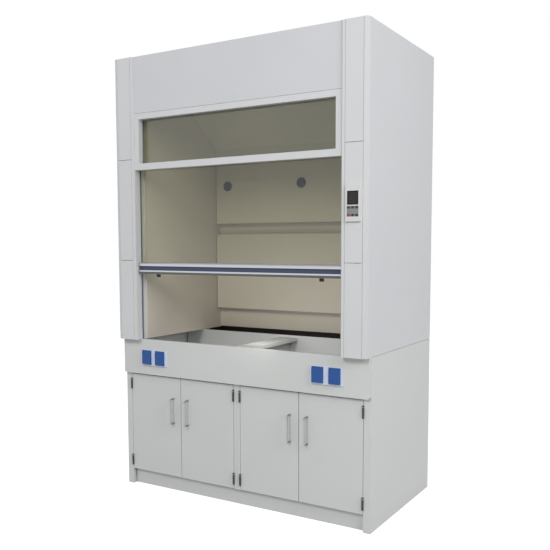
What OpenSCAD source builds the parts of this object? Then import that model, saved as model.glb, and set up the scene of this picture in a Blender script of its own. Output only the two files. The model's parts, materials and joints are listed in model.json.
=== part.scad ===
// Walk-up laboratory fume hood: steel base with open-topped cabinets, lined chamber,
// counterbalanced glass sash, fixed upper window and a controller on the right post.
// X runs left to right, Y front to back, Z up; the origin is at the middle of the footprint.

/* [Overall] */
// Width over the side panels
width = 1500; // [1300:10:1800]
// Depth of the cabinet, from the posts' faces to the rear panel
depth = 850; // [780:10:1000]
// Height of the cabinet without the exhaust collar
height = 2350; // [2150:10:2600]
// Height of the base, where the upper part stands
rim_z = 835; // [815:5:855]
// Thickness of the steel sheet
sheet = 1.5; // [1:0.1:2]

/* [Front posts] */
// Width of a front post, from its inner face to the side
post_w = 133; // [125:1:140]
// Depth of a front post
post_d = 80; // [80:1:90]
// Radius of a post's outer corner
post_r = 20; // [12:1:22]
// Width of the plain strip beside the opening
post_lip = 19; // [16:1:22]
// Width of the removable covers
cover_w = 91; // [84:1:94]
// Length of the lower cover
cover_low = 435; // [365:5:495]
// Length of the upper cover
cover_high = 539; // [500:1:650]
// Shadow gap round a cover
cover_gap = 1; // [0.6:0.1:1.6]
// Depth of a cover's folded edges
cover_d = 8; // [6:1:10]

/* [Header and upper window] */
// Height of the header
header_h = 297; // [270:1:320]
// Set-back of the header and the window frame behind the posts' faces
header_back = 7; // [4:1:10]
// Height of the window frame
window_h = 298; // [270:1:320]
// Width of the window frame's sides and height of its members
frame_w = 31; // [26:1:36]
// Depth of the window frame
window_d = 34; // [26:1:35]
// Thickness of the fixed pane
pane_t = 4; // [3:0.5:5]

/* [Sash] */
// Height of the handle's underside at rest
sash_z = 1196; // [1140:1:1250]
// Height of the handle
handle_h = 62; // [54:1:70]
// Set-back of the handle's front lip
handle_y = 20; // [14:1:26]
// Gap between a handle end and the post
handle_gap = 6; // [3:0.5:10]
// Distance of the glass's upper edge below the top at rest
sash_drop = 204; // [200:1:240]
// Thickness of the sash glass
sash_t = 5; // [4:0.5:6]
// Depth of the sash glass's middle plane
sash_y = 52.5; // [52:0.5:54]
// How far the glass reaches into each guide
sash_grip = 17; // [12:1:20]
// Distance of the rubber stops from the posts
stop_in = 120; // [60:1:200]
// Diameter of a rubber stop
stop_dia = 22; // [16:1:26]
// Height of a rubber stop
stop_h = 16; // [10:1:24]

/* [Sash guides and counterweights] */
// Depth of the guide channel, front to back
guide_w = 15; // [13:1:16]
// Width of the guide channel, in from the post's face
guide_d = 33; // [30:1:36]
// Wall of the guide channel
guide_t = 1.8; // [1.5:0.1:2]
// Wall of the blue slide strip in the channel
strip_t = 1.5; // [1:0.1:2]
// Diameter of the wire rope
rope_dia = 3; // [2:0.5:4]
// Radius at which the rope runs on the pulley
pulley_r = 30; // [26:1:32]
// Width of a pulley
pulley_w = 12; // [9:1:14]
// Diameter of a pulley's axle
axle_dia = 10; // [8:1:12]
// Distance of a pulley's centre below the top
pulley_drop = 60; // [50:1:70]
// Width of a counterweight
weight_w = 60; // [50:1:70]
// Thickness of a counterweight
weight_t = 40; // [30:1:44]
// Height of a counterweight as a share of the glass's
weight_share = 0.57; // [0.54:0.005:0.62]
// Distance of a counterweight's top below the pulleys at rest
weight_drop = 490; // [450:10:590]

/* [Lining and baffles] */
// Thickness of the lining panels
lining_t = 7; // [5:0.5:9]
// How far the side linings stand inside the posts' faces
lining_in = 6; // [3:0.5:6]
// Distance of the ceiling lining below the top
ceiling_drop = 150; // [130:10:190]
// Distance from the rear lining's face to the back of the hood
plenum_back = 66; // [50:1:90]
// Distance between the rear lining and the baffles
baffle_gap = 36; // [28:1:50]
// Thickness of a baffle
baffle_t = 6; // [4:0.5:8]
// Height of the gap under the middle baffle, over the base
baffle_foot = 125; // [85:5:165]
// Height of the slot between the baffles, as a share of the chamber's
slot_at = 0.427; // [0.38:0.001:0.46]
// Width of the slot between the baffles
slot_h = 67; // [40:1:80]
// Distance below the ceiling where the upper baffle bends forward
bend_drop = 266; // [220:1:320]
// How far the upper baffle leans forward
lean = 310; // [260:5:330]
// Height of the baffle knobs, as a share of the upper baffle's upright part
knob_at = 0.508; // [0.3:0.01:0.7]
// Distance of the outer knobs from the baffle's ends
knob_in = 86; // [70:1:150]
// Diameter of a baffle knob
knob_dia = 60; // [45:1:70]

/* [Exhaust and lamp] */
// Outer diameter of the exhaust collar's spigot
collar_dia = 250; // [200:5:260]
// Height of the collar above the top
collar_h = 60; // [40:1:80]
// Distance of the collar's axis from the rear panel
collar_back = 240; // [215:5:260]
// Length of the lamp
lamp_l = 640; // [400:10:900]
// Width of the lamp
lamp_w = 110; // [80:5:140]

/* [Base] */
// Height of the kick plate and of the cabinet floor
kick_h = 85; // [70:1:100]
// Set-back of the kick plate from the posts' faces
kick_y = 87; // [84:1:100]
// Set-back of the doors and stiles from the posts' faces
door_y = 60; // [58:1:64]
// Thickness of a door
door_t = 20; // [16:1:22]
// Height of the doors' upper edge
door_top = 633; // [600:1:636]
// Width of a stile
stile_w = 38; // [34:1:44]
// Gap between a door and a stile
hinge_gap = 2; // [1.8:0.1:3]
// Gap between a pair of doors
door_gap = 3; // [2:0.5:4]
// Set-back of the apron's face
apron_y = 41; // [36:1:44]
// Height of the apron's lower edge
apron_low = 641; // [638:1:660]
// Depth of the service void behind the cabinets' back panels
void_d = 250; // [200:5:300]
// Width of the flanges on top of the middle walls
flange_w = 54; // [40:1:70]
// Gap between a back panel and the side
back_gap = 13; // [8:1:20]

/* [Door hardware] */
// Diameter of a hinge barrel
barrel_dia = 10; // [8:0.5:10.5]
// Length of a hinge barrel
barrel_l = 60; // [50:1:70]
// Diameter of a hinge pin
pin_dia = 5; // [4:0.5:6]
// Height of the lower hinges' middle
hinge_low = 140; // [120:1:180]
// Height of the upper hinges' middle
hinge_high = 578; // [500:1:590]
// Distance between the ends of a door handle
pull_l = 135; // [96:1:160]
// Diameter of a door handle's bar
pull_dia = 10; // [8:1:12]
// Stand-off of a door handle's bar from the door
pull_out = 32; // [28:1:40]
// Height of the door handles' middle
pull_z = 451; // [400:1:500]
// Distance of a handle from the gap between the doors
pull_x = 48; // [35:1:70]

/* [Sockets] */
// Distance of the outer sockets' middle from the side
socket_in = 175; // [140:1:200]
// Distance between neighbouring sockets
socket_pitch = 91; // [86:1:110]
// Height of the sockets' middle
socket_z = 735; // [720:1:745]
// Height of a socket plate
socket_h = 86; // [84:1:88]
// Width of a socket plate beyond the middle of the outer sockets, twice
socket_w = 82; // [76:1:86]
// Thickness of a socket plate
socket_t = 8; // [7:0.5:10]
// Width of a socket lid
lid_w = 60; // [54:1:66]
// Height of a socket lid
lid_h = 72; // [66:1:74]
// Depth of a socket lid
lid_d = 9; // [8:0.5:11]
// Diameter of a lid's hinge pin
lid_pin = 3; // [2.5:0.5:3.5]

/* [Controller] */
// Width of the controller's housing
unit_w = 72; // [66:1:78]
// Height of the controller's housing
unit_h = 166; // [150:1:180]
// Height of the housing's middle
unit_z = 1540; // [1450:1:1600]
// Thickness of the housing
unit_t = 10; // [8:0.5:12]
// Width of the display window
display_w = 53; // [44:1:56]
// Height of the display window
display_h = 60; // [50:1:64]
// Distance of the display's middle above the housing's middle
display_up = 23; // [18:1:30]
// Width of a key
key_w = 13; // [11:0.5:14]
// Height of a key
key_h = 9; // [8:0.5:11]
// Spacing of the key columns
key_pitch = 20; // [17:0.5:20]
// Distance of the upper key row below the housing's middle
key_row_1 = 20; // [18:1:24]
// Distance of the lower key row below the housing's middle
key_row_2 = 54; // [44:1:60]
// How far a key stands out
key_out = 2; // [1.5:0.1:2.5]

/* [Cable gland] */
// Diameter of the cable gland's bore
gland_bore = 12; // [8:1:16]
// How far the gland stands out at the rear
gland_out = 30; // [20:1:36]
// Height of the gland
gland_z = 905; // [880:5:1000]
// Distance of the gland from the side
gland_x = 50; // [40:1:80]

/* [Clearances] */
// Free play between sliding and turning pieces
play = 0.3; // [0.2:0.05:0.4]
// Radial play of a pin or axle in its bore
pin_play = 0.05; // [0.02:0.01:0.08]

/* [Hidden] */

paint = [0.80, 0.81, 0.83];
beige = [0.72, 0.69, 0.60];
silver = [0.78, 0.79, 0.83];
navy = [0.18, 0.22, 0.38];
blue = [0.10, 0.32, 0.68];
dark = [0.20, 0.20, 0.21];
steel = [0.62, 0.63, 0.65];
tint = [0.70, 0.78, 0.74, 0.35];

// The posts' faces lie this far from the origin, so that the footprint is centred on it
front = -(depth + gland_out - unit_t - key_out) / 2;
half = width / 2;
post_x = half - post_w;
skin_x = half - sheet;
small = 32;
turned = 64;

// Depth of the rear pans, side panels' top lip and the groove over the base
pan_d = 22;
side_lip = 25;
seam = 3;
header_d = 25;

// Shallow folds: lip on the base's sides, the floor's and the flanges' turned edges
rim_lip = 30;
fold_h = 18;
// Half the gap between the two cabinets
split = 0.2;
rail_h = 42;
apron_r = 12;
// The body behind a socket's plate, and its two flat slots
body_w = 54;
slot_x = 11;
slot_w = 3;
// Half thickness left beside a hinge barrel for each leaf
leaf_t = 0.7;
leaf_back = 4;
drain_w = 30;
// Rim behind the window's opening, where the pane sits
rim_w = 12;
// Exhaust collar: the duct under the top panel, the foot on it and where both lie
duct_r = collar_dia / 2 - 3;
foot_r = collar_dia / 2 - 1;
foot_h = 3;
collar_y = depth - collar_back;
// Lamp: axis behind the posts' faces, flange and height of the housing
lamp_y = 200;
lamp_flange = 15;
lamp_flange_t = 2;
lamp_h = 50;
// Bracket plate, its reach over and under the axle, and its cheeks
bracket_w = 50;
bracket_up = 45;
bracket_down = 30;
cheek = 3;
cheek_w = 28;
cheek_gap = 0.5;

// Cover, ledge and post outline
cover_x = post_x + post_lip;
ledge_y = cover_d;
ledge_w = 14;

// Guides: the channel's front face meets the post's inner return
guide_y = sash_y - guide_w / 2;
slot_end = post_x + guide_d - guide_t - strip_t;
guide_top = height - pulley_drop - pulley_r - 20;
glass_x = post_x + sash_grip;
rope_x = slot_end - rope_dia / 2 - 3;
pulley_x = rope_x + pulley_r;
pulley_z = height - pulley_drop;
weight_x = pulley_x + pulley_r;
weight_h = weight_share * (height - sash_drop - sash_z);
weight_z = pulley_z - weight_drop;
clamp_up = 50;
clamp_z = sash_z + handle_h + clamp_up;

// Handle extrusion and what it holds
handle_x = post_x - handle_gap;
glass_low = sash_z + 18;
glass_top = height - sash_drop;
glass_y = sash_y - sash_t / 2;
stop_x = post_x - stop_in;

// Window
header_z = height - header_h;
window_x = post_x - 0.5;
window_top = header_z - 1;
window_z = window_top - window_h;
pane_y = header_back + window_d;
light_x = window_x - frame_w + 1;
light_low = window_z + frame_w + 3;
light_high = window_top - frame_w;

// Lining and baffles
lining_x = post_x - lining_in;
rear_y = depth - plenum_back;
baffle_y = rear_y - baffle_gap - baffle_t;
baffle_x = lining_x - 5;
ceiling_z = height - ceiling_drop;
baffle_low = rim_z + baffle_foot;
slot_low = rim_z + slot_at * (ceiling_z - rim_z);
slot_high = slot_low + slot_h;
bend_z = ceiling_z - bend_drop;
knob_z = slot_high + knob_at * (bend_z - slot_high);
knob_pitch = baffle_x - knob_in;
spacer_dia = 30;
spacer_in = 40;
spacer_x = knob_pitch + spacer_in / 2;
spacer_z = [baffle_low + spacer_in, slot_low - spacer_in, slot_high + spacer_in, bend_z - spacer_in];
lean_gap = 25;
lean_top = ceiling_z - lean_gap;
knob_t = 14;
stud_dia = 12;

// Base
cabinet_back = depth - void_d;
barrel_y = door_y - barrel_dia / 2 - play;
door_low = kick_h + 3;
kick_top = kick_h - sheet - 0.2;
floor_front = door_y + door_t + 1;
floor_fold = kick_y + fold_h + 2;
rail_z = door_top + 3;
centre_w = stile_w;
door_w = (half - stile_w - centre_w / 2 - 2 * hinge_gap - door_gap) / 2;
door_left = [-half + stile_w + hinge_gap, -centre_w / 2 - hinge_gap - door_w,
             centre_w / 2 + hinge_gap, half - stile_w - hinge_gap - door_w];
hinge_side = [-1, 1, -1, 1];
pair_x = (half - stile_w + centre_w / 2) / 2;
flange_z = rim_z - 12;
apron_x = half - 2;

socket_x = half - socket_in;
sockets = [-socket_x, socket_pitch - socket_x, socket_x - socket_pitch, socket_x];
lid_y = apron_y - socket_t;
lid_pin_y = lid_y - 4.5;
lid_barrel = lid_pin / 2 + 1.5;
lid_pin_z = socket_z + lid_h / 2 + lid_barrel + 0.5;
ear_w = 3;
ear_x = lid_w / 2 - ear_w / 2;
pin_l = 5;
lid_eye = ear_x - ear_w / 2 - play;

unit_x = cover_x + cover_w / 2;
key_rows = [unit_z - key_row_1, unit_z - key_row_2];
key_flange = 1;

// A folded sheet: the path is one face, and the sheet lies to the left of it
function unit(v) = v / norm(v);
function left_of(v) = [-v.y, v.x];
function mitre(a, b, c) =
    let (m = left_of(unit(b - a)), n = left_of(unit(c - b))) (m + n) / (1 + m * n);
function side_at(p, i) =
    i == 0 ? left_of(unit(p[1] - p[0]))
    : i == len(p) - 1 ? left_of(unit(p[i] - p[i - 1]))
    : mitre(p[i - 1], p[i], p[i + 1]);
function fold(p, t) = concat(p, [for (i = [len(p) - 1 : -1 : 0]) p[i] + t * side_at(p, i)]);
function arc(c, r, from, to, steps = 8) =
    [for (i = [0 : steps]) let (a = from + (to - from) * i / steps) c + r * [cos(a), sin(a)]];

// Every piece is drawn with Y from the posts' faces and set in its place here
module seat(tone) color(tone) translate([0, front, 0]) children();
module both_sides() {
    children();
    mirror([1, 0, 0]) children();
}
// An outline in Y and Z, extruded along X from one place to another
module along_x(from, to) translate([from, 0, 0]) rotate([90, 0, 90])
    linear_extrude(to - from) children();
module along_y(from, to) translate([0, to, 0]) rotate([90, 0, 0])
    linear_extrude(to - from) children();
module along_z(from, to) translate([0, 0, from]) linear_extrude(to - from) children();
module block(low, high) translate(low) cube(high - low);
// A rod between two places on one axis
module rod_y(x, z, from, to, d) translate([x, from, z]) rotate([-90, 0, 0])
    cylinder(d = d, h = to - from, $fn = small);
module rod_x(y, z, from, to, d) translate([from, y, z]) rotate([0, 90, 0])
    cylinder(d = d, h = to - from, $fn = small);
module rod_z(x, y, from, to, d) translate([x, y, from]) cylinder(d = d, h = to - from, $fn = small);
module rounded(w, h, r) {
    square([w, h - 2 * r], center = true);
    square([w - 2 * r, h], center = true);
    for (x = [-1, 1], y = [-1, 1]) translate([x * (w / 2 - r), y * (h / 2 - r)]) circle(r, $fn = small);
}

// Right-hand base cabinet: side with its stile, middle wall, floor, back and rails
module cabinet_shell() {
    // Side wall, folded at the front into the outer stile
    along_z(0, rim_z) polygon(fold([[half - stile_w, door_y + door_t],
        [half - stile_w, door_y], [half, door_y], [half, depth]], sheet));
    // Lip along the top of the side, under the upper part
    block([half - rim_lip, door_y, rim_z - sheet], [half, depth, rim_z]);
    // Middle wall, folded at the front into half of the middle stile
    along_z(kick_h, flange_z) polygon(fold([[centre_w / 2, door_y + door_t], [centre_w / 2, door_y],
        [split, door_y], [split, cabinet_back]], -sheet));
    along_y(door_y + door_t, cabinet_back) polygon(fold([[split, flange_z - fold_h], [split, flange_z],
        [split + flange_w, flange_z], [split + flange_w, flange_z - fold_h]], -sheet));
    // Floor, back panel and the rail over the doors
    along_x(split, half - sheet) {
        polygon(fold([[floor_fold, kick_h - fold_h], [floor_fold, kick_h],
            [floor_front, kick_h]], sheet));
        polygon(fold([[door_y + door_t, rail_z], [door_y, rail_z],
            [door_y, rail_z + rail_h], [door_y + door_t, rail_z + rail_h]], -sheet));
    }
    block([split, floor_front, kick_h], [half - sheet, cabinet_back, kick_h + sheet]);
    block([split, cabinet_back, kick_h], [half - back_gap, cabinet_back + sheet, rim_z]);
}
module cabinet_right() seat(paint) cabinet_shell();
module cabinet_left() seat(paint) mirror([1, 0, 0]) cabinet_shell();

module kick_plate() seat(paint) along_x(-skin_x, skin_x) polygon(fold([[kick_y + fold_h, 0],
    [kick_y, 0], [kick_y, kick_top], [kick_y + fold_h, kick_top]], -sheet));

// Rear pans of the base and of the upper part, between the side panels
module rear_pan(low, high) {
    block([-skin_x, depth - sheet, low], [skin_x, depth, high]);
    both_sides() block([skin_x - sheet, depth - pan_d, low], [skin_x, depth, high]);
    for (z = [low, high - sheet]) block([-skin_x, depth - pan_d, z], [skin_x, depth, z + sheet]);
}
module rear_panels() seat(paint) {
    rear_pan(0, rim_z - sheet);
    difference() {
        rear_pan(rim_z, height - sheet);
        rod_y(skin_x - gland_x, gland_z, depth - 5, depth + 5, gland_bore + 6);
    }
}

// Apron: a pan with round lower corners, cut out behind each socket
module apron() seat(paint) difference() {
    along_y(apron_y, door_y) difference() {
        translate([-apron_x, apron_low]) square([2 * apron_x, rim_z - apron_low]);
        both_sides() translate([apron_x - apron_r, apron_low]) difference() {
            square(apron_r);
            translate([0, apron_r]) circle(apron_r, $fn = small);
        }
    }
    block([-apron_x + sheet, apron_y + sheet, apron_low + sheet],
          [apron_x - sheet, door_y + 1, rim_z - sheet]);
    for (x = sockets) translate([x, 0, socket_z])
        block([-body_w / 2 - 1, apron_y - 1, -body_w / 2 - 1], [body_w / 2 + 1, apron_y + 5, body_w / 2 + 1]);
}

// Socket plates for two sockets each: slots, the sockets' bodies and the ears of the lids' hinges
module socket_frame() {
    difference() {
        union() {
            along_y(lid_y, apron_y) rounded(socket_w, socket_h, 5);
            block([-body_w / 2, apron_y, -body_w / 2], [body_w / 2, door_y - 4, body_w / 2]);
            both_sides() along_x(ear_x - ear_w / 2, ear_x + ear_w / 2) {
                translate([lid_pin_y, lid_pin_z - socket_z]) circle(lid_barrel, $fn = small);
                translate([lid_pin_y, lid_pin_z - socket_z - lid_barrel])
                    square([lid_y - lid_pin_y + 1, 2 * lid_barrel]);
            }
        }
        for (x = [-slot_x, slot_x]) block([x - slot_w / 2, lid_y - 1, -8], [x + slot_w / 2, lid_y + 6, 2]);
        block([-slot_w / 2, lid_y - 1, 10], [slot_w / 2, lid_y + 6, 19]);
    }
    both_sides() rod_x(lid_pin_y, lid_pin_z - socket_z, ear_x - ear_w / 2 - pin_l, ear_x, lid_pin);
}
module socket_frames() seat(silver) {
    for (x = sockets) translate([x, 0, socket_z]) socket_frame();
    both_sides() block([sockets[2], lid_y, socket_z - socket_h / 2],
        [sockets[3], apron_y, socket_z + socket_h / 2]);
}

// Fixed halves of the door hinges, each with its pin
module hinge_leaves() seat(dark) for (i = [0 : 3], z = [hinge_low, hinge_high]) {
    s = hinge_side[i];
    x = door_left[i] + (s < 0 ? 0 : door_w) + s * hinge_gap / 2;
    low = z - barrel_l / 2;
    rod_z(x, barrel_y, low, z - play / 2, barrel_dia);
    rod_z(x, barrel_y, low, z + barrel_l / 2 - 2, pin_dia);
    block([x + (s < 0 ? -hinge_gap / 2 : hinge_gap / 2 - leaf_t), barrel_y, low],
          [x + (s < 0 ? leaf_t - hinge_gap / 2 : hinge_gap / 2), door_y + door_t - leaf_back, z - play / 2]);
}

// Upper side panels, folded in at the foot and at the top; a groove marks the joint on the base
module side_panel() {
    along_y(post_d, depth - pan_d) polygon(fold([[half - rim_lip, rim_z], [half - seam, rim_z],
        [half, rim_z + seam], [half, height], [half - side_lip, height]], sheet));
    for (y = [[post_r + 6, post_d], [depth - pan_d, depth]])
        block([skin_x, y[0], rim_z + seam], [half, y[1], height]);
}
module side_panel_right() seat(paint) side_panel();
module side_panel_left() seat(paint) mirror([1, 0, 0]) side_panel();

module top_panel() seat(paint) difference() {
    union() {
        block([-half + side_lip + play, post_d, height - sheet],
              [half - side_lip - play, depth - sheet, height]);
        block([-post_x, header_back + header_d, height - sheet], [post_x, post_d, height]);
    }
    translate([0, collar_y, height - 10]) cylinder(r = duct_r + play, h = 20, $fn = turned);
}

// Exhaust collar: a spigot on a foot that rests on the top panel, and a duct down to the ceiling
module exhaust_collar() seat(steel) translate([0, collar_y, 0]) rotate_extrude($fn = turned)
    polygon([[duct_r - sheet, ceiling_z], [duct_r, ceiling_z], [duct_r, height], [foot_r, height],
        [foot_r, height + foot_h], [collar_dia / 2, height + foot_h], [collar_dia / 2, height + collar_h],
        [collar_dia / 2 - sheet, height + collar_h], [collar_dia / 2 - sheet, height + 2 * foot_h],
        [duct_r - sheet, height + foot_h]]);

// Front post: folded face with a ledge behind the covers, rear wall and end caps
post_front = concat([[post_x, guide_y], [post_x, 5], [post_x + 5, 0], [cover_x, 0],
    [cover_x, ledge_y], [cover_x + ledge_w, ledge_y]]);
post_corner = concat([[cover_x + cover_w - ledge_w, ledge_y], [cover_x + cover_w, ledge_y],
    [cover_x + cover_w, 0]], arc([half - post_r, post_r], post_r, -90, 0), [[half, post_r + 6]]);
module front_post() {
    along_z(rim_z, height) {
        polygon(fold(post_front, sheet));
        polygon(fold(post_corner, sheet));
        polygon(fold([[post_x, guide_y + guide_w], [post_x, post_d], [skin_x, post_d],
            [skin_x, post_r + 1]], -sheet));
    }
    for (z = [rim_z, height - sheet]) along_z(z, z + sheet) difference() {
        polygon(concat([[post_x, post_d], [post_x, 5], [post_x + 5, 0]],
            arc([half - post_r, post_r], post_r, -90, 0), [[skin_x, post_r + 6], [skin_x, post_d]]));
        translate([post_x - 1, guide_y]) square([guide_d + 1, guide_w]);
        translate([cover_x, -1]) square([cover_w, ledge_y + 1]);
    }
}
module front_post_right() seat(paint) front_post();
module front_post_left() seat(paint) mirror([1, 0, 0]) front_post();

// Removable covers over the counterweights, three on each post
module post_cover(low, high) {
    x = [cover_x + cover_gap, cover_x + cover_w - cover_gap];
    difference() {
        block([x[0], 0, low], [x[1], ledge_y, high]);
        block([x[0] + sheet, sheet, low + sheet], [x[1] - sheet, ledge_y + 1, high - sheet]);
    }
}
module post_covers() seat(paint) both_sides() {
    post_cover(rim_z, rim_z + cover_low - cover_gap);
    post_cover(rim_z + cover_low + cover_gap, height - cover_high - cover_gap);
    post_cover(height - cover_high + cover_gap, height);
}

// Header: a pan between the posts
module header_panel() seat(paint) difference() {
    block([-window_x, header_back, header_z], [window_x, header_back + header_d, height]);
    block([-window_x + sheet, header_back + sheet, header_z + sheet],
          [window_x - sheet, header_back + header_d + 1, height - sheet]);
}

// Window frame: hollow members round the opening, with a rim that holds the pane
module window_frame() seat(paint) difference() {
    block([-window_x, header_back, window_z], [window_x, pane_y, window_top]);
    block([-light_x, header_back - 1, light_low], [light_x, pane_y + 1, light_high]);
    difference() {
        block([-window_x + sheet, header_back + sheet, window_z + sheet],
              [window_x - sheet, pane_y + 1, window_top - sheet]);
        block([-light_x - sheet, header_back, light_low - sheet],
              [light_x + sheet, pane_y + 1, light_high + sheet]);
        block([-light_x - rim_w, pane_y - sheet, light_low - rim_w],
              [light_x + rim_w, pane_y + 1, light_high + rim_w]);
    }
}
module upper_glass() seat(tint)
    block([2 - light_x - rim_w, pane_y, light_low - rim_w + 2],
          [light_x + rim_w - 2, pane_y + pane_t, light_high + rim_w - 2]);

// Guide channels for the sash, and the blue slide strips in them
module guide() along_z(rim_z, guide_top) polygon(fold([[post_x, guide_y], [post_x + guide_d, guide_y],
    [post_x + guide_d, guide_y + guide_w], [post_x, guide_y + guide_w]], guide_t));
module sash_guides() seat(silver) both_sides() guide();
module slide_strip() along_z(rim_z, guide_top) polygon(fold([[post_x + 0.4, guide_y + guide_t],
    [post_x + guide_d - guide_t, guide_y + guide_t],
    [post_x + guide_d - guide_t, guide_y + guide_w - guide_t],
    [post_x + 0.4, guide_y + guide_w - guide_t]], strip_t));
module slide_strips() seat(blue) both_sides() slide_strip();

module side_linings() seat(beige) both_sides()
    block([lining_x, post_d, rim_z], [lining_x + lining_t, rear_y + lining_t, ceiling_z]);
module rear_lining() seat(beige)
    block([-lining_x, rear_y, rim_z + 5], [lining_x, rear_y + lining_t, ceiling_z]);
module ceiling_lining() seat(beige) difference() {
    block([-lining_x - lining_t, post_d, ceiling_z],
          [lining_x + lining_t, rear_y + lining_t, ceiling_z + lining_t]);
    translate([0, collar_y, ceiling_z - 1]) cylinder(r = duct_r + play, h = lining_t + 2, $fn = turned);
    block([-lamp_l / 2, lamp_y - lamp_w / 2, ceiling_z - 1], [lamp_l / 2, lamp_y + lamp_w / 2, ceiling_z + 20]);
}
// Lamp: a tray that stands on the ceiling lining round its cut-out, with a lens let into the cut-out
module lamp() seat(silver) {
    tray_z = ceiling_z + lining_t;
    edge = [lamp_l, lamp_w] / 2 + [lamp_flange, lamp_flange];
    block([play - lamp_l / 2, lamp_y - lamp_w / 2 + play, ceiling_z],
          [lamp_l / 2 - play, lamp_y + lamp_w / 2 - play, tray_z + lamp_flange_t]);
    block([-edge.x, lamp_y - edge.y, tray_z], [edge.x, lamp_y + edge.y, tray_z + lamp_flange_t]);
    along_x(-lamp_l / 2, lamp_l / 2) polygon([[lamp_y - lamp_w / 2, tray_z], [lamp_y + lamp_w / 2, tray_z],
        [lamp_y + lamp_w / 3, ceiling_z + lamp_h], [lamp_y - lamp_w / 3, ceiling_z + lamp_h]]);
}

// Upper baffle: upright, then leaning forward to the ceiling; holes for the three knobs
module baffle_upper() seat(beige) difference() {
    along_x(-baffle_x, baffle_x) polygon(fold([[baffle_y, slot_high], [baffle_y, bend_z],
        [baffle_y - lean, lean_top]], -baffle_t));
    for (i = [-1 : 1]) rod_y(i * knob_pitch, knob_z, baffle_y - 5, baffle_y + 15, stud_dia + 2 * play);
}
module baffle_middle() seat(beige)
    block([-baffle_x, baffle_y, baffle_low], [baffle_x, baffle_y + baffle_t, slot_low]);
// Knobs with their studs, and the spacers that hold the baffles off the rear lining
module baffle_fixings() seat(navy) {
    for (i = [-1 : 1]) translate([i * knob_pitch, baffle_y, knob_z]) rotate([90, 0, 0]) {
        rotate_extrude($fn = turned) polygon([[0, 0], [knob_dia / 2, 0], [knob_dia / 2, 4],
            [knob_dia / 2 - 4, knob_t - 4], [12, knob_t - 2], [10, knob_t - 6], [0, knob_t - 6]]);
        translate([0, 0, -baffle_gap - baffle_t]) cylinder(d = stud_dia, h = baffle_gap + baffle_t, $fn = small);
    }
    for (x = [-spacer_x, spacer_x], z = spacer_z)
        rod_y(x, z, baffle_y + baffle_t, rear_y, spacer_dia);
}

// Pulley brackets: plate on the post's rear wall, two cheeks and the axle
module pulley_bracket() {
    plate_y = post_d - sheet;
    low_y = sash_y - pulley_w / 2 - cheek_gap;
    high_y = sash_y + pulley_w / 2 + cheek_gap;
    block([pulley_x - bracket_w / 2, plate_y - cheek, pulley_z - bracket_down],
          [pulley_x + bracket_w / 2, plate_y, pulley_z + bracket_up]);
    for (y = [low_y - cheek, high_y]) along_y(y, y + cheek) {
        translate([pulley_x, pulley_z]) circle(cheek_w / 2, $fn = small);
        translate([pulley_x - cheek_w / 2, pulley_z]) square([cheek_w, bracket_up]);
    }
    block([pulley_x - cheek_w / 2, low_y - cheek, pulley_z + bracket_up - cheek],
          [pulley_x + cheek_w / 2, plate_y, pulley_z + bracket_up]);
    rod_y(pulley_x, pulley_z, low_y - cheek - 2, high_y + cheek + 2, axle_dia);
}
module pulley_brackets() seat(steel) both_sides() pulley_bracket();

// Grooved pulley, turned to carry the rope
module pulley() translate([pulley_x, sash_y, pulley_z]) rotate([90, 0, 0]) rotate_extrude($fn = turned)
    difference() {
        translate([axle_dia / 2 + pin_play, -pulley_w / 2]) square([pulley_r + 3 - axle_dia / 2, pulley_w]);
        translate([pulley_r, 0]) circle(d = rope_dia + 2 * play, $fn = small);
        translate([pulley_r, -rope_dia / 2 - play]) square([5, rope_dia + 2 * play]);
        translate([pulley_r * 0.45, pulley_w / 2 - 3]) square([pulley_r * 0.35, 4]);
        translate([pulley_r * 0.45, -pulley_w / 2 - 1]) square([pulley_r * 0.35, 4]);
    }
module pulley_right() seat(dark) pulley();
module pulley_left() seat(dark) mirror([1, 0, 0]) pulley();
module rope_wraps() seat(steel) both_sides() translate([pulley_x, sash_y, pulley_z]) rotate([90, 0, 0])
    rotate_extrude(angle = 180, $fn = turned) translate([pulley_r, 0]) circle(d = rope_dia, $fn = small);

// Counterweights, with the rope's eye on top
module counterweight() {
    translate([weight_x, sash_y]) along_z(weight_z - weight_h, weight_z) rounded(weight_w, weight_t, 4);
    rod_z(weight_x, sash_y, weight_z, weight_z + 18, 12);
}
module counterweight_right() seat(dark) counterweight();
module counterweight_left() seat(dark) mirror([1, 0, 0]) counterweight();
module weight_rope() rod_z(weight_x, sash_y, weight_z + 18, pulley_z, rope_dia);
module weight_rope_right() seat(steel) weight_rope();
module weight_rope_left() seat(steel) mirror([1, 0, 0]) weight_rope();

module sash_glass() seat(tint)
    block([-glass_x, glass_y, glass_low], [glass_x, glass_y + sash_t, glass_top]);

// Handle extrusion: a finger groove in front, a slot on top for the glass, a hollow inside
groove_up = 21;
groove_h = 23;
groove_low = sash_z + groove_up;
groove_high = groove_low + groove_h;
groove_d = 9;
groove_in = 1.5;
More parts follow.
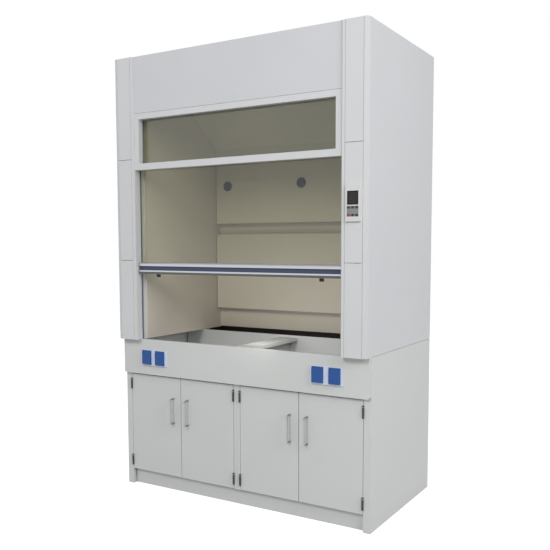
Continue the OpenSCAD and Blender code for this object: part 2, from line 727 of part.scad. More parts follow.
// The toe under the front lip, set back, and the walls round the hollows
toe_h = 12;
toe_in = 14;
wall = 3;
top_z = sash_z + handle_h;
back_y = glass_y + sash_t + 5;
function groove(deep) = [for (i = [0 : 10]) let (a = 180 * i / 10)
    [handle_y + deep * sin(a), groove_low + groove_h * i / 10]];
module handle_outline() difference() {
    polygon(concat([[back_y, sash_z], [handle_y + toe_in, sash_z], [handle_y + toe_in, sash_z + toe_h],
        [handle_y + 1, sash_z + toe_h], [handle_y, sash_z + toe_h + 1]],
        groove(groove_d), [[handle_y, top_z - 6], [handle_y + 6, top_z], [glass_y - 0.1, top_z],
        [glass_y - 0.1, glass_low], [glass_y + sash_t + 0.1, glass_low],
        [glass_y + sash_t + 0.1, top_z], [back_y, top_z]]));
    translate([handle_y + toe_in + wall, sash_z + wall])
        square([glass_y + sash_t - wall - handle_y - toe_in, glass_low - sash_z - 2 * wall]);
    translate([handle_y + groove_d + wall, glass_low])
        square([glass_y - handle_y - groove_d - 2 * wall, top_z - wall - glass_low]);
}
// The rope clamps are plates on the handle's ends that turn up inside the guides
module rope_clamp() along_y(sash_y - 2, sash_y + 2) polygon([[handle_x, sash_z + 2],
    [slot_end - 1, sash_z + 2], [slot_end - 1, clamp_z], [rope_x - 5, clamp_z],
    [glass_x + 1, clamp_z - 5], [glass_x + 1, sash_z + 14], [handle_x, sash_z + 14]]);
module sash_handle() seat(silver) {
    along_x(-handle_x, handle_x) handle_outline();
    both_sides() rope_clamp();
}
module handle_insert() seat(navy) along_x(-handle_x, handle_x)
    polygon(concat(groove(groove_d - 0.05), [for (i = [9 : -1 : 1]) let (a = 180 * i / 10)
        [handle_y + (groove_d - groove_in) * sin(a) - 0.3, groove_low + groove_h * i / 10]]));
module sash_stops() seat(dark) both_sides() rod_z(stop_x, sash_y - 5, sash_z - stop_h, sash_z, stop_dia);
module sash_ropes() seat(steel) both_sides() rod_z(rope_x, sash_y, clamp_z, pulley_z, rope_dia);

// Controller on the right post: a shell with a recess for the display and a hole for each key
module controller_housing() seat(paint) translate([unit_x, 0, unit_z]) difference() {
    along_y(-unit_t, 0) rounded(unit_w, unit_h, 4);
    along_y(-unit_t + 2, 1) rounded(unit_w - 4, unit_h - 4, 3);
    translate([0, -unit_t, display_up]) cube([display_w, 6, display_h], center = true);
    for (i = [-1 : 1], z = key_rows) translate([i * key_pitch, -unit_t, z - unit_z])
        cube([key_w + 2 * play, 6, key_h + 2 * play], center = true);
}
// Display window: a pane in the housing's opening with a rim behind it
module display_window() seat(dark) translate([unit_x, 0, unit_z + display_up]) {
    along_y(-unit_t + 0.4, -unit_t + 2) square([display_w - 0.4, display_h - 0.4], center = true);
    along_y(-unit_t + 2, -unit_t + 3) square([display_w + 6, display_h + 6], center = true);
}
module key(i) {
    x = unit_x + (i % 3 - 1) * key_pitch;
    z = key_rows[floor(i / 3)];
    seat(i == 3 ? [0.65, 0.16, 0.14] : dark) {
        translate([x, 0, z]) along_y(-unit_t - key_out, -unit_t + 3) rounded(key_w, key_h, 1.5);
        translate([x, 0, z]) along_y(-unit_t + 2 + 0.1, -unit_t + 2.1 + key_flange)
            rounded(key_w + 4, key_h + 4, 1.5);
    }
}

// Cable gland at the rear
module cable_gland() seat(dark) translate([skin_x - gland_x, depth - sheet - 4, gland_z]) rotate([-90, 0, 0])
    rotate_extrude($fn = turned) polygon([[gland_bore / 2, 0], [gland_bore / 2 + 7, 0],
        [gland_bore / 2 + 7, 4], [gland_bore / 2 + 3 - play, 4], [gland_bore / 2 + 3 - play, 4 + sheet],
        [gland_bore / 2 + 9, 4 + sheet], [gland_bore / 2 + 9, 10 + sheet], [gland_bore / 2 + 6, 12 + sheet],
        [gland_bore / 2 + 6, gland_out - 4], [gland_bore / 2 + 2, 4 + sheet + gland_out],
        [gland_bore / 2, 4 + sheet + gland_out]]);

// Door: two skins with folded edges, and the upper halves of its hinges
module door(i) seat(paint) {
    s = hinge_side[i];
    low = [door_left[i], door_y, door_low];
    high = [door_left[i] + door_w, door_y + door_t, door_top];
    x = (s < 0 ? low.x : high.x) + s * hinge_gap / 2;
    skin = [sheet, sheet, sheet];
    difference() {
        block(low, high);
        block(low + skin, high - skin);
        // Drain slot in the foot
        block([low.x + door_w / 2 - drain_w / 2, door_y + 6, door_low - 1],
              [low.x + door_w / 2 + drain_w / 2, door_y + 12, door_low + 5]);
    }
    for (z = [hinge_low, hinge_high]) difference() {
        union() {
            rod_z(x, barrel_y, z + play / 2, z + barrel_l / 2, barrel_dia);
            block([x + (s < 0 ? 0.2 : -hinge_gap / 2 - 1), barrel_y + 3.2, z + play / 2],
                  [x + (s < 0 ? hinge_gap / 2 + 1 : -0.2), door_y + door_t - leaf_back, z + barrel_l / 2]);
        }
        rod_z(x, barrel_y, z - 1, z + barrel_l / 2 - 1.7, pin_dia + 2 * pin_play);
        block([x + (s < 0 ? hinge_gap / 2 + 0.5 : -hinge_gap / 2 - 1.5), barrel_y + 3, z - 1],
              [x + (s < 0 ? hinge_gap / 2 + 1.5 : -hinge_gap / 2 - 0.5), door_y, z + barrel_l / 2 + 1]);
    }
}

// D-shaped door handle: straight bar, two quarter bends and two legs
module pull(i) {
    bend = 14;
    s = i % 2 == 0 ? -1 : 1;
    x = (i < 2 ? -1 : 1) * pair_x + s * pull_x;
    seat(steel) translate([x, door_y, pull_z]) {
        rod_z(0, -pull_out, -pull_l / 2 + bend, pull_l / 2 - bend, pull_dia);
        for (end = [-1, 1]) {
            rod_y(0, end * pull_l / 2, -pull_out + bend, 0, pull_dia);
            translate([0, -pull_out + bend, end * (pull_l / 2 - bend)]) rotate([0, end > 0 ? 0 : 180, 0])
                rotate([0, -90, 0]) rotate_extrude(angle = -90, $fn = turned) translate([bend, 0])
                circle(d = pull_dia, $fn = small);
        }
    }
}

// Socket lid: a shallow hood that hangs from a pin between the frame's ears
module lid_outline(grow) {
    bottom = -lid_h / 2;
    polygon(concat([[-play, bottom + grow], [3 - lid_d, bottom + grow]],
        arc([3 - lid_d, bottom + 3 + grow], 3, -90, -180, 4),
        arc([5 + grow - lid_d, lid_h / 2 - 5 - grow], 5, 180, 100, 6),
        [[-play, lid_h / 2 - grow]]));
}
module socket_lid(i) seat(blue) translate([sockets[i], lid_y, socket_z]) difference() {
    union() {
        along_x(-lid_w / 2, lid_w / 2) lid_outline(0);
        rod_x(lid_pin_y - lid_y, lid_pin_z - socket_z, -lid_eye, lid_eye, 2 * lid_barrel);
        block([-lid_eye, lid_pin_y - lid_y - lid_barrel, lid_h / 2 - 2],
              [lid_eye, lid_pin_y - lid_y, lid_pin_z - socket_z]);
    }
    along_x(-lid_w / 2 + 2, lid_w / 2 - 2) translate([2, 0]) lid_outline(2);
    both_sides() rod_x(lid_pin_y - lid_y, lid_pin_z - socket_z, lid_eye - pin_l - play, lid_eye + 1,
        lid_pin + 2 * pin_play);
}

cabinet_left();
cabinet_right();
kick_plate();
rear_panels();
apron();
socket_frames();
hinge_leaves();
side_panel_left();
side_panel_right();
top_panel();
exhaust_collar();
front_post_left();
front_post_right();
post_covers();
header_panel();
window_frame();
upper_glass();
sash_guides();
slide_strips();
side_linings();
rear_lining();
ceiling_lining();
lamp();
baffle_upper();
baffle_middle();
baffle_fixings();
pulley_brackets();
rope_wraps();
controller_housing();
display_window();
cable_gland();
sash_glass();
sash_handle();
handle_insert();
sash_stops();
sash_ropes();
counterweight_left();
counterweight_right();
weight_rope_left();
weight_rope_right();
pulley_left();
pulley_right();
door(0);  // door_1
door(1);  // door_2
door(2);  // door_3
door(3);  // door_4
pull(0);  // pull_1
pull(1);  // pull_2
pull(2);  // pull_3
pull(3);  // pull_4
socket_lid(0);  // socket_lid_1
socket_lid(1);  // socket_lid_2
socket_lid(2);  // socket_lid_3
socket_lid(3);  // socket_lid_4
key(0);  // key_1
key(1);  // key_2
key(2);  // key_3
key(3);  // key_4
key(4);  // key_5
key(5);  // key_6
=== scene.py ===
"""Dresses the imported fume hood: powder-coated sheet with soft edges, lining board, glass, plastics and
metal, hinge sleeves, gaskets and a keypad, in a plain pale studio seen from the photograph's side."""

import json
from math import pi, radians

import bpy
from mathutils import Euler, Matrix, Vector

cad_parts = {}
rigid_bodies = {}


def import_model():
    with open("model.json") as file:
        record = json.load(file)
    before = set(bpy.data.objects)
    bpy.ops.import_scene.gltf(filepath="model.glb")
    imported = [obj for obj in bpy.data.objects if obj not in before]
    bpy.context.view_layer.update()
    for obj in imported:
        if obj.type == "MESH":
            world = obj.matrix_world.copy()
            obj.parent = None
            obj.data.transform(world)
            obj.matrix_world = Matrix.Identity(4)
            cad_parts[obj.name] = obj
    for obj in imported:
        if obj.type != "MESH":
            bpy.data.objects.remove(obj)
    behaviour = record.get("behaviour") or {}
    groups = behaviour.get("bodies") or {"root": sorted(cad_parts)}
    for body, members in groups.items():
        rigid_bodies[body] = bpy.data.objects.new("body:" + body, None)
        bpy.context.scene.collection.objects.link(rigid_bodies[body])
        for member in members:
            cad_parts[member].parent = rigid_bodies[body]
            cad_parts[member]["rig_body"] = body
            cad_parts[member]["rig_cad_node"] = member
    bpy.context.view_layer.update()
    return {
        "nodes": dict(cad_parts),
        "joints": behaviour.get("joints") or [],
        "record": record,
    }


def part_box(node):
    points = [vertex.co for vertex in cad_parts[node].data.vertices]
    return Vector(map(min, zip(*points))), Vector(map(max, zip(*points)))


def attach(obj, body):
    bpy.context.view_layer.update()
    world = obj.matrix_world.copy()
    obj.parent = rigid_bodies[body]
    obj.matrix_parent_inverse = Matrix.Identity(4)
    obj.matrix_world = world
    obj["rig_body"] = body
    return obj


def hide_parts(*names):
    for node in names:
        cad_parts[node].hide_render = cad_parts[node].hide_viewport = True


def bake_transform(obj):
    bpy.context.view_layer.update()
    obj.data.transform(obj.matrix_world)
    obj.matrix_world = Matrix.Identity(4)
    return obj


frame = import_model()

bl_info = {
    "name": "Fume Hood Dressing",
    "version": (1, 0, 0),
    "blender": (4, 5, 0),
    "location": "View3D > Sidebar > Fume Hood",
    "description": "Finishes, soft edges and small parts for the packed fume hood",
    "category": "Object",
}

NODES = frame["nodes"]
BODY_OF = {node: body for body, nodes in frame["record"]["behaviour"]["bodies"].items() for node in nodes}
JOINTS = {joint["name"]: joint for joint in frame["joints"]}
MM = 0.001
# Width and height of the photograph, in pixels
PHOTO = 550
# Width of the camera's sensor, in millimetres
SENSOR = 36.0
# CAD triangles are joined where corners are this close and faces this flat
WELD = 0.01 * MM
FLAT = radians(0.3)
# Edges that turn by more than this get a bevel
BEVEL_FROM = radians(40)
# How far a cutter reaches past what it cuts
OVERCUT = 5 * MM
# How far a piece reaches into what it sits on, so that no gap shows
SUNK = 0.1 * MM
WHITE = (1.0, 1.0, 1.0, 1.0)
DUST = (0.56, 0.54, 0.50, 1.0)


# Sizes, colours and the studio, as a user would change them

def length(label, words, value):
    return bpy.props.FloatProperty(name=label, description=words, default=value, subtype="DISTANCE",
                                   unit="LENGTH", min=0.0, precision=5)


def rotation(label, words, value):
    return bpy.props.FloatProperty(name=label, description=words, default=value, subtype="ANGLE",
                                   unit="ROTATION")


def colour(label, words, value):
    return bpy.props.FloatVectorProperty(name=label, description=words, default=value, size=3,
                                         subtype="COLOR", min=0.0, max=1.0)


class HoodSizes(bpy.types.PropertyGroup):
    """Sizes of the details that the dressing adds"""
    sheet_edge: length("Sheet edge", "Radius on the edges of folded sheet", 0.6 * MM)
    door_edge: length("Door edge", "Radius on the edges of the doors", 0.8 * MM)
    plastic_edge: length("Plastic edge", "Radius on the edges of moulded pieces", 0.5 * MM)
    board_edge: length("Board edge", "Radius on the edges of the lining boards", 0.5 * MM)
    casing_edge: length("Casing edge", "Radius on the controller, the knobs and the gasket", 0.8 * MM)
    metal_edge: length("Metal edge", "Radius on the sash handle and the pulleys' brackets", 0.4 * MM)
    fine_edge: length("Fine edge", "Radius on the door handles and the insert", 0.2 * MM)
    rubber_edge: length("Rubber edge", "Radius on the stops and the foot's seal", 1.2 * MM)
    casting_edge: length("Casting edge", "Radius on the counterweights", 1.5 * MM)
    sleeve_wall: length("Sleeve wall", "How far a hinge sleeve stands over the barrel", 0.15 * MM)
    gasket_w: length("Gasket width", "Width of the upper pane's gasket inside its opening", 3 * MM)
    bead_h: length("Bead height", "Height of the beads along the foot of the sash glass", 1.5 * MM)
    membrane_t: length("Keypad thickness", "How far the keypad's membrane stands out", 0.4 * MM)


class HoodColours(bpy.types.PropertyGroup):
    """Colours of the finishes"""
    paint: colour("Paint", "Powder coat on the steel panels", (0.588, 0.603, 0.628))
    trim_paint: colour("Trim paint", "Powder coat on the posts and the window's frame", (0.620, 0.632, 0.645))
    # Painted shade: near-black for the inner face of the rear pan, where the service void lies in shade
    void_shade: colour("Void shade", "Dark primer inside the rear pan", (0.030, 0.026, 0.022))
    base_paint: colour("Base paint", "Powder coat on the base and doors", (0.602, 0.618, 0.612))
    lining: colour("Lining", "Beige lining board", (0.600, 0.556, 0.494))
    anodised: colour("Anodised", "Satin anodised aluminium", (0.560, 0.575, 0.620))
    bare_steel: colour("Bare steel", "Zinc-plated and bare steel", (0.520, 0.530, 0.540))
    nickel: colour("Nickel", "Satin nickel of the door handles", (0.400, 0.393, 0.385))
    iron: colour("Iron", "Cast counterweights", (0.060, 0.060, 0.064))
    black_steel: colour("Black steel", "Blackened hinges", (0.034, 0.034, 0.036))
    blue: colour("Blue", "Socket lids", (0.018, 0.085, 0.300))
    guide_blue: colour("Guide blue", "Slide strips beside the sash", (0.320, 0.350, 0.470))
    pale_plastic: colour("Pale plastic", "Socket plates", (0.620, 0.690, 0.820))
    housing: colour("Housing", "Controller's housing", (0.640, 0.645, 0.640))
    navy: colour("Navy", "Handle insert", (0.040, 0.052, 0.095))
    knob: colour("Knob", "Baffle knobs", (0.016, 0.030, 0.066))
    black: colour("Black", "Keys, bezel, gland and pulleys", (0.030, 0.032, 0.034))
    red: colour("Red", "The red key", (0.260, 0.050, 0.045))
    membrane: colour("Membrane", "Keypad, the window's gasket and the glass's beads", (0.235, 0.235, 0.240))
    rubber: colour("Rubber", "Stops of the sash", (0.035, 0.036, 0.038))
    # Painted shade: the dark strip along the foot of the sash stands in for the shade under the handle
    shade_strip: colour("Shade strip", "Rubber seal along the foot of the sash", (0.095, 0.097, 0.094))
    screen: colour("Screen", "Unlit display", (0.026, 0.026, 0.025))
    glass: colour("Glass", "Tint of the panes", (0.864, 0.869, 0.803))


class HoodStudio(bpy.types.PropertyGroup):
    """Camera and light"""
    camera_place: bpy.props.FloatVectorProperty(
        name="Camera", description="Camera's place", default=(2.0920, -3.4428, 1.3539), size=3,
        subtype="TRANSLATION", unit="LENGTH")
    camera_turn: rotation("Turn", "Camera's turn to the left", 0.5415)
    camera_dip: rotation("Dip", "How far the camera looks down", 0.0821)
    camera_roll: rotation("Roll", "Camera's roll", 0.0019)
    lens_px: bpy.props.FloatProperty(
        name="Lens", description="Focal length in pixels of the photograph", default=730.32, min=1.0)
    centre_px: bpy.props.FloatVectorProperty(
        name="Centre", description="Optical centre in the photograph", default=(277.46, 304.75), size=2)
    world_level: bpy.props.FloatProperty(
        name="Surround", description="Strength of the even light from all round", default=0.45, min=0.0)
    floor_colour: colour("Floor", "Pale floor", (0.48, 0.48, 0.48))


def sizes():
    return bpy.context.scene.hood_sizes


def colours():
    return bpy.context.scene.hood_colours


def studio():
    return bpy.context.scene.hood_studio


# Modelling by hand: selection, edit mode and modifiers

def deselect():
    if bpy.context.mode != "OBJECT":
        bpy.ops.object.mode_set(mode="OBJECT")
    bpy.ops.object.select_all(action="DESELECT")


def select_only(obj):
    deselect()
    obj.select_set(True)
    bpy.context.view_layer.objects.active = obj


def edit(obj, everything=True):
    """Opens obj in edit mode, with all of it selected or nothing."""
    select_only(obj)
    bpy.ops.object.mode_set(mode="EDIT")
    bpy.ops.mesh.select_all(action="SELECT" if everything else "DESELECT")


def select_faces(obj, test):
    """Selects the faces whose middle and normal pass the test, and opens obj in edit mode."""
    edit(obj, everything=False)
    bpy.ops.mesh.select_mode(type="FACE")
    bpy.ops.object.mode_set(mode="OBJECT")
    for face in obj.data.polygons:
        face.select = test(face.center, face.normal)
    bpy.ops.object.mode_set(mode="EDIT")


def modify(obj, kind, **settings):
    """Adds a modifier with these settings and applies it."""
    select_only(obj)
    modifier = obj.modifiers.new(kind.lower(), kind)
    for name, value in settings.items():
        setattr(modifier, name, value)
    bpy.ops.object.modifier_apply(modifier=modifier.name)


def settle(obj):
    """Puts the piece's place into its mesh, with its object at the origin."""
    select_only(obj)
    bpy.ops.object.transform_apply(location=True, rotation=True, scale=True)


def named(name):
    """The object that the last operator made, under its own name."""
    obj = bpy.context.active_object
    obj.name = name
    obj.data.name = name
    return obj


def smooth(obj, angle=35):
    """Smooth shading, with edges that turn by more than the angle kept sharp."""
    select_only(obj)
    bpy.ops.object.shade_smooth_by_angle(angle=radians(angle))


def even_shading(obj):
    """Large flat faces keep their own normals, and the bevels take up the turn."""
    select_only(obj)
    bpy.ops.mesh.customdata_custom_splitnormals_clear()
    smooth(obj)
    modify(obj, "WEIGHTED_NORMAL", mode="FACE_AREA", weight=100, keep_sharp=True)


def soften(obj, width, segments=2):
    """Rounds the edges with a bevel of this width."""
    modify(obj, "BEVEL", width=width, segments=segments, limit_method="ANGLE", angle_limit=BEVEL_FROM,
           use_clamp_overlap=True, harden_normals=False)
    even_shading(obj)


def step_front(obj, steps):
    """Insets the faces furthest to the front and moves them, once for each (border, rise)."""
    front = min(vertex.co.y for vertex in obj.data.vertices)
    reach = 0.2 * MM
    for border, rise in steps:
        select_faces(obj, lambda centre, normal: normal.y < -0.99 and abs(centre.y - front) < reach)
        bpy.ops.mesh.inset(thickness=border)
        bpy.ops.transform.translate(value=(0, -rise, 0))
        front -= rise
    even_shading(obj)


def block(name, low, high):
    """A box from one corner to the other, ready to be shaped."""
    deselect()
    low, high = Vector(low), Vector(high)
    bpy.ops.mesh.primitive_cube_add(size=1, location=(low + high) / 2)
    obj = named(name)
    obj.scale = high - low
    settle(obj)
    return obj


def cut(obj, cutters):
    """Cuts the cutters out of obj and deletes them."""
    for cutter in cutters:
        modify(obj, "BOOLEAN", object=cutter, operation="DIFFERENCE", solver="EXACT")
        select_only(cutter)
        bpy.ops.object.delete()


def plate(name, box, inset, front, back):
    """A plate between two depths. Its outline is that of a box seen from the front, inset all round."""
    low, high = box
    return block(name, (low[0] + inset, front, low[2] + inset), (high[0] - inset, back, high[2] - inset))


def ring(name, box, inset, width, front, back):
    """A flat frame of this width between two depths, with a plate's outline."""
    obj = plate(name, box, inset, front, back)
    cut(obj, [plate(name + "_cutter", box, inset + width, front - OVERCUT, back + OVERCUT)])
    return obj


def place(obj, body, finish):
    """Gives a finished piece its finish and the body that it rides on."""
    obj.data.materials.clear()
    obj.data.materials.append(FINISHES.get(finish))
    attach(obj, body)


def merged(node, name):
    """A free copy of a CAD node, with its loose triangles joined into flat faces."""
    select_only(NODES[node])
    bpy.ops.object.duplicate()
    obj = named(name)
    bpy.ops.object.parent_clear(type="CLEAR_KEEP_TRANSFORM")
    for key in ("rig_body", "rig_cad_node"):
        if key in obj:
            del obj[key]
    bpy.ops.mesh.customdata_custom_splitnormals_clear()
    edit(obj)
    bpy.ops.mesh.remove_doubles(threshold=WELD)
    bpy.ops.mesh.dissolve_limited(angle_limit=FLAT)
    deselect()
    return obj


def dressed(node, name, width, segments=2):
    """A copy of a CAD node with merged faces and soft edges, which stands for it."""
    obj = merged(node, name)
    soften(obj, width, segments)
    place(obj, BODY_OF[node], FINISH_OF[node])
    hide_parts(node)
    return obj


# Shader nodes: a group gives masks, heights and shades, and the shader stays in its material

def add(tree, kind, inputs=None, **settings):
    """Adds a node. An input is a plain value, or a socket to link from."""
    node = tree.nodes.new(kind)
    for name, value in settings.items():
        setattr(node, name, value)
    for name, value in (inputs or {}).items():
        if isinstance(value, bpy.types.NodeSocket):
            tree.links.new(value, node.inputs[name])
        else:
            node.inputs[name].default_value = value
    return node


def math_node(tree, operation, *values, clamp=False):
    return add(tree, "ShaderNodeMath", dict(enumerate(values)), operation=operation,
               use_clamp=clamp).outputs[0]


def mix_colour(tree, factor, a, b):
    """Mixes two colours. A Mix node's colours are its inputs 6 and 7 and its output 2."""
    return add(tree, "ShaderNodeMix", {0: factor, 6: a, 7: b}, data_type="RGBA").outputs[2]


def remap(tree, value, low, high, to_low, to_high):
    return add(tree, "ShaderNodeMapRange", {"Value": value, "From Min": low, "From Max": high,
                                            "To Min": to_low, "To Max": to_high}).outputs["Result"]


def noise(tree, vector, scale, detail, roughness, distortion=0.0):
    return add(tree, "ShaderNodeTexNoise", {
        "Vector": vector, "Scale": scale, "Detail": detail, "Roughness": roughness,
        "Distortion": distortion}).outputs["Fac"]


def cells(tree, vector, scale, randomness=0.0):
    """Distance from the nearest point of a grid, or of scattered points."""
    return add(tree, "ShaderNodeTexVoronoi", {"Vector": vector, "Scale": scale,
                                              "Randomness": randomness}).outputs["Distance"]


def parts_of(tree, vector):
    return add(tree, "ShaderNodeSeparateXYZ", {"Vector": vector}).outputs


def normal_of(tree):
    return add(tree, "ShaderNodeNewGeometry").outputs["Normal"]


def place_of(tree):
    return add(tree, "ShaderNodeTexCoord").outputs["Object"]


def seen(tree):
    """1 for what the camera sees, also in reflections and through glass, and 0 for other light."""
    path = add(tree, "ShaderNodeLightPath")
    return math_node(tree, "MAXIMUM", path.outputs["Is Camera Ray"],
                     math_node(tree, "MAXIMUM", path.outputs["Is Glossy Ray"],
                               path.outputs["Is Transmission Ray"]))


def new_group(name, inputs, outputs):
    group = bpy.data.node_groups.new(name, "ShaderNodeTree")
    for label, kind, default in inputs:
        socket = group.interface.new_socket(name=label, in_out="INPUT", socket_type=kind)
        if default is not None:
            socket.default_value = default
    for label, kind in outputs:
        group.interface.new_socket(name=label, in_out="OUTPUT", socket_type=kind)
    return group, group.nodes.new("NodeGroupInput"), group.nodes.new("NodeGroupOutput")


def coat_grain():
    """Fine orange peel and soft mottling, as on powder coat and moulded plastic."""
    group, given, out = new_group("Coat grain", [
        ("Vector", "NodeSocketVector", None), ("Scale", "NodeSocketFloat", 900.0)],
        [("Height", "NodeSocketFloat"), ("Shade", "NodeSocketFloat")])
    vector = given.outputs["Vector"]
    peel = noise(group, vector, given.outputs["Scale"], 2.0, 0.45)
    patches = remap(group, noise(group, vector, 2.6, 3.0, 0.55), 0.3, 0.7, 0.0, 1.0)
    specks = remap(group, noise(group, vector, 140.0, 4.0, 0.7), 0.3, 0.7, 0.0, 1.0)
    shade = math_node(group, "MULTIPLY_ADD", specks, 0.25, math_node(group, "MULTIPLY", patches, 0.75))
    group.links.new(peel, out.inputs["Height"])
    group.links.new(shade, out.inputs["Shade"])
    return group


def settled_dust():
    """Dust on what faces up, broken up by noise."""
    group, given, out = new_group("Settled dust", [
        ("Vector", "NodeSocketVector", None), ("Amount", "NodeSocketFloat", 0.2)],
        [("Mask", "NodeSocketFloat")])
    up = remap(group, parts_of(group, normal_of(group))["Z"], 0.6, 1.0, 0.0, 1.0)
    broken = remap(group, noise(group, given.outputs["Vector"], 14.0, 6.0, 0.65), 0.35, 0.7, 0.3, 1.0)
    mask = math_node(group, "MULTIPLY", math_node(group, "MULTIPLY", up, broken), given.outputs["Amount"],
                     clamp=True)
    group.links.new(mask, out.inputs["Mask"])
    return group


def brush_lines():
    """Fine drawn or brushed lines along the vector's X."""
    group, given, out = new_group("Brush lines", [
        ("Vector", "NodeSocketVector", None), ("Scale", "NodeSocketFloat", 1800.0)],
        [("Height", "NodeSocketFloat"), ("Shade", "NodeSocketFloat")])
    drawn = add(group, "ShaderNodeVectorMath", {0: given.outputs["Vector"], 1: (0.012, 1.0, 1.0)},
                operation="MULTIPLY").outputs["Vector"]
    lines = noise(group, drawn, given.outputs["Scale"], 3.0, 0.6)
    bands = noise(group, drawn, 120.0, 2.0, 0.5)
    shade = math_node(group, "MULTIPLY_ADD", lines, 0.6, math_node(group, "MULTIPLY", bands, 0.4))
    group.links.new(lines, out.inputs["Height"])
    group.links.new(shade, out.inputs["Shade"])
    return group


def handling():
    """Smudges where hands and cloths have been."""
    group, given, out = new_group("Handling", [("Vector", "NodeSocketVector", None)],
                                  [("Mask", "NodeSocketFloat")])
    vector = given.outputs["Vector"]
    wipes = remap(group, noise(group, vector, 5.0, 5.0, 0.6, distortion=1.2), 0.42, 0.72, 0.0, 1.0)
    marks = remap(group, cells(group, vector, 28.0, randomness=1.0), 0.0, 0.5, 1.0, 0.0)
    group.links.new(math_node(group, "MULTIPLY", wipes, marks, clamp=True), out.inputs["Mask"])
    return group


def painted_bend_shade():
    """Painted shade: where sheet is bent between its front and its side, it is darkened, which tones down the
    highlight that the bend catches.
    """
    group, given, out = new_group("Painted bend shade", [("Strength", "NodeSocketFloat", 2.0)],
                                  [("Mask", "NodeSocketFloat")])
    parts = parts_of(group, normal_of(group))
    slant = math_node(group, "ABSOLUTE", math_node(group, "MULTIPLY", parts["X"], parts["Y"]))
    mask = math_node(group, "MULTIPLY", slant, given.outputs["Strength"], clamp=True)
    group.links.new(mask, out.inputs["Mask"])
    return group


GROUPS = {"Painted bend shade": painted_bend_shade, "Coat grain": coat_grain, "Settled dust": settled_dust,
          "Brush lines": brush_lines, "Handling": handling}


def use_group(tree, name, inputs):
    group = bpy.data.node_groups.get(name) or GROUPS[name]()
    return add(tree, "ShaderNodeGroup", inputs, node_tree=group)


def shade_of(base, factor):
    """The colour made lighter or darker, as a node's four values."""
    return tuple(min(1.0, channel * factor) for channel in base) + (1.0,)


def blank(name):
    """A new material, with its tree, its shader and the place on the piece."""
    material = bpy.data.materials.new(name)
    material.use_nodes = True
    tree = material.node_tree
    return material, tree, tree.nodes["Principled BSDF"], place_of(tree)


def link_surface(tree, shader, colour_socket, roughness, height, depth):
    """Links the colour and the roughness, and a relief of this depth in metres."""
    tree.links.new(colour_socket, shader.inputs["Base Color"])
    tree.links.new(roughness, shader.inputs["Roughness"])
    bump = add(tree, "ShaderNodeBump", {"Height": height, "Distance": depth, "Strength": 1.0})
    tree.links.new(bump.outputs["Normal"], shader.inputs["Normal"])


def show(tree, shader_socket):
    """Makes this the surface of the material."""
    tree.links.new(shader_socket, tree.nodes["Material Output"].inputs["Surface"])


def recoloured(material, mask, other):
    """The material with another colour where the mask, a socket of its own tree, is 1."""
    tree = material.node_tree
    base = tree.nodes["Principled BSDF"].inputs["Base Color"]
    tree.links.new(mix_colour(tree, mask, base.links[0].from_socket, shade_of(other, 1.0)), base)
    return material


def coated(name, base, roughness=0.42, grain=900.0, depth=0.00004, mottle=0.02, dust=0.15, bend_shade=0.0,
           gloss=0.5):
    """Powder coat or moulded plastic: peel, soft mottling, smudges in the gloss, dust on top and, if asked,
    painted shade on the bends.
    """
    material, tree, shader, vector = blank(name)
    coat = use_group(tree, "Coat grain", {"Vector": vector, "Scale": grain}).outputs
    dusty = use_group(tree, "Settled dust", {"Vector": vector, "Amount": dust}).outputs["Mask"]
    smudge = use_group(tree, "Handling", {"Vector": vector}).outputs["Mask"]
    tone = mix_colour(tree, coat["Shade"], shade_of(base, 1 - mottle), shade_of(base, 1 + mottle))
    # Painted shade on the bends between front and side, which tones down their highlight
    if bend_shade:
        bend_shade_mask = use_group(tree, "Painted bend shade", {}).outputs["Mask"]
        tone = mix_colour(tree, bend_shade_mask, tone, shade_of(base, 1 - bend_shade))
    tone = mix_colour(tree, dusty, tone, DUST)
    rough = remap(tree, coat["Shade"], 0.0, 1.0, roughness - 0.04, roughness + 0.04)
    rough = math_node(tree, "MULTIPLY_ADD", smudge, 0.06, rough)
    rough = math_node(tree, "MULTIPLY_ADD", dusty, 0.3, rough, clamp=True)
    link_surface(tree, shader, tone, rough, coat["Height"], depth)
    shader.inputs["Specular IOR Level"].default_value = gloss
    return material


def metal(name, base, roughness=0.3, lines=1800.0, depth=0.00002, spread=0.06, turn=(0, 0, 0)):
    """Drawn, brushed or plated metal. The lines run along X unless the pattern is turned."""
    material, tree, shader, vector = blank(name)
    turned = add(tree, "ShaderNodeMapping", {"Vector": vector, "Rotation": turn}).outputs["Vector"]
    brushed = use_group(tree, "Brush lines", {"Vector": turned, "Scale": lines}).outputs
    smudge = use_group(tree, "Handling", {"Vector": vector}).outputs["Mask"]
    tone = mix_colour(tree, brushed["Shade"], shade_of(base, 1 - spread), shade_of(base, 1 + spread))
    rough = remap(tree, brushed["Shade"], 0.2, 0.8, roughness - 0.06, roughness + 0.06)
    rough = math_node(tree, "MULTIPLY_ADD", smudge, 0.08, rough)
    link_surface(tree, shader, tone, rough, brushed["Height"], depth)
    shader.inputs["Metallic"].default_value = 1.0
    return material


def paint():
    # The bends get painted shade, which tones down their highlight
    return coated("Paint", colours().paint, 0.40, dust=0.25, bend_shade=0.1)


def pan_paint_void_shade():
    """Paint outside, and near-black painted shade on the inner face that closes the service void."""
    # The bends get painted shade, which tones down their highlight
    material = coated("Pan paint with void shade", colours().paint, 0.40, dust=0.25, bend_shade=0.1)
    tree = material.node_tree
    facing = parts_of(tree, normal_of(tree))["Y"]
    height = parts_of(tree, place_of(tree))["Z"]
    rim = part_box("cabinet_left")[1][2]
    # Painted shade: faces turned to the front, below the cabinets' rim, turn near-black
    mask = math_node(tree, "MULTIPLY", math_node(tree, "LESS_THAN", facing, -0.5),
                     math_node(tree, "LESS_THAN", height, rim))
    return recoloured(material, mask, colours().void_shade)


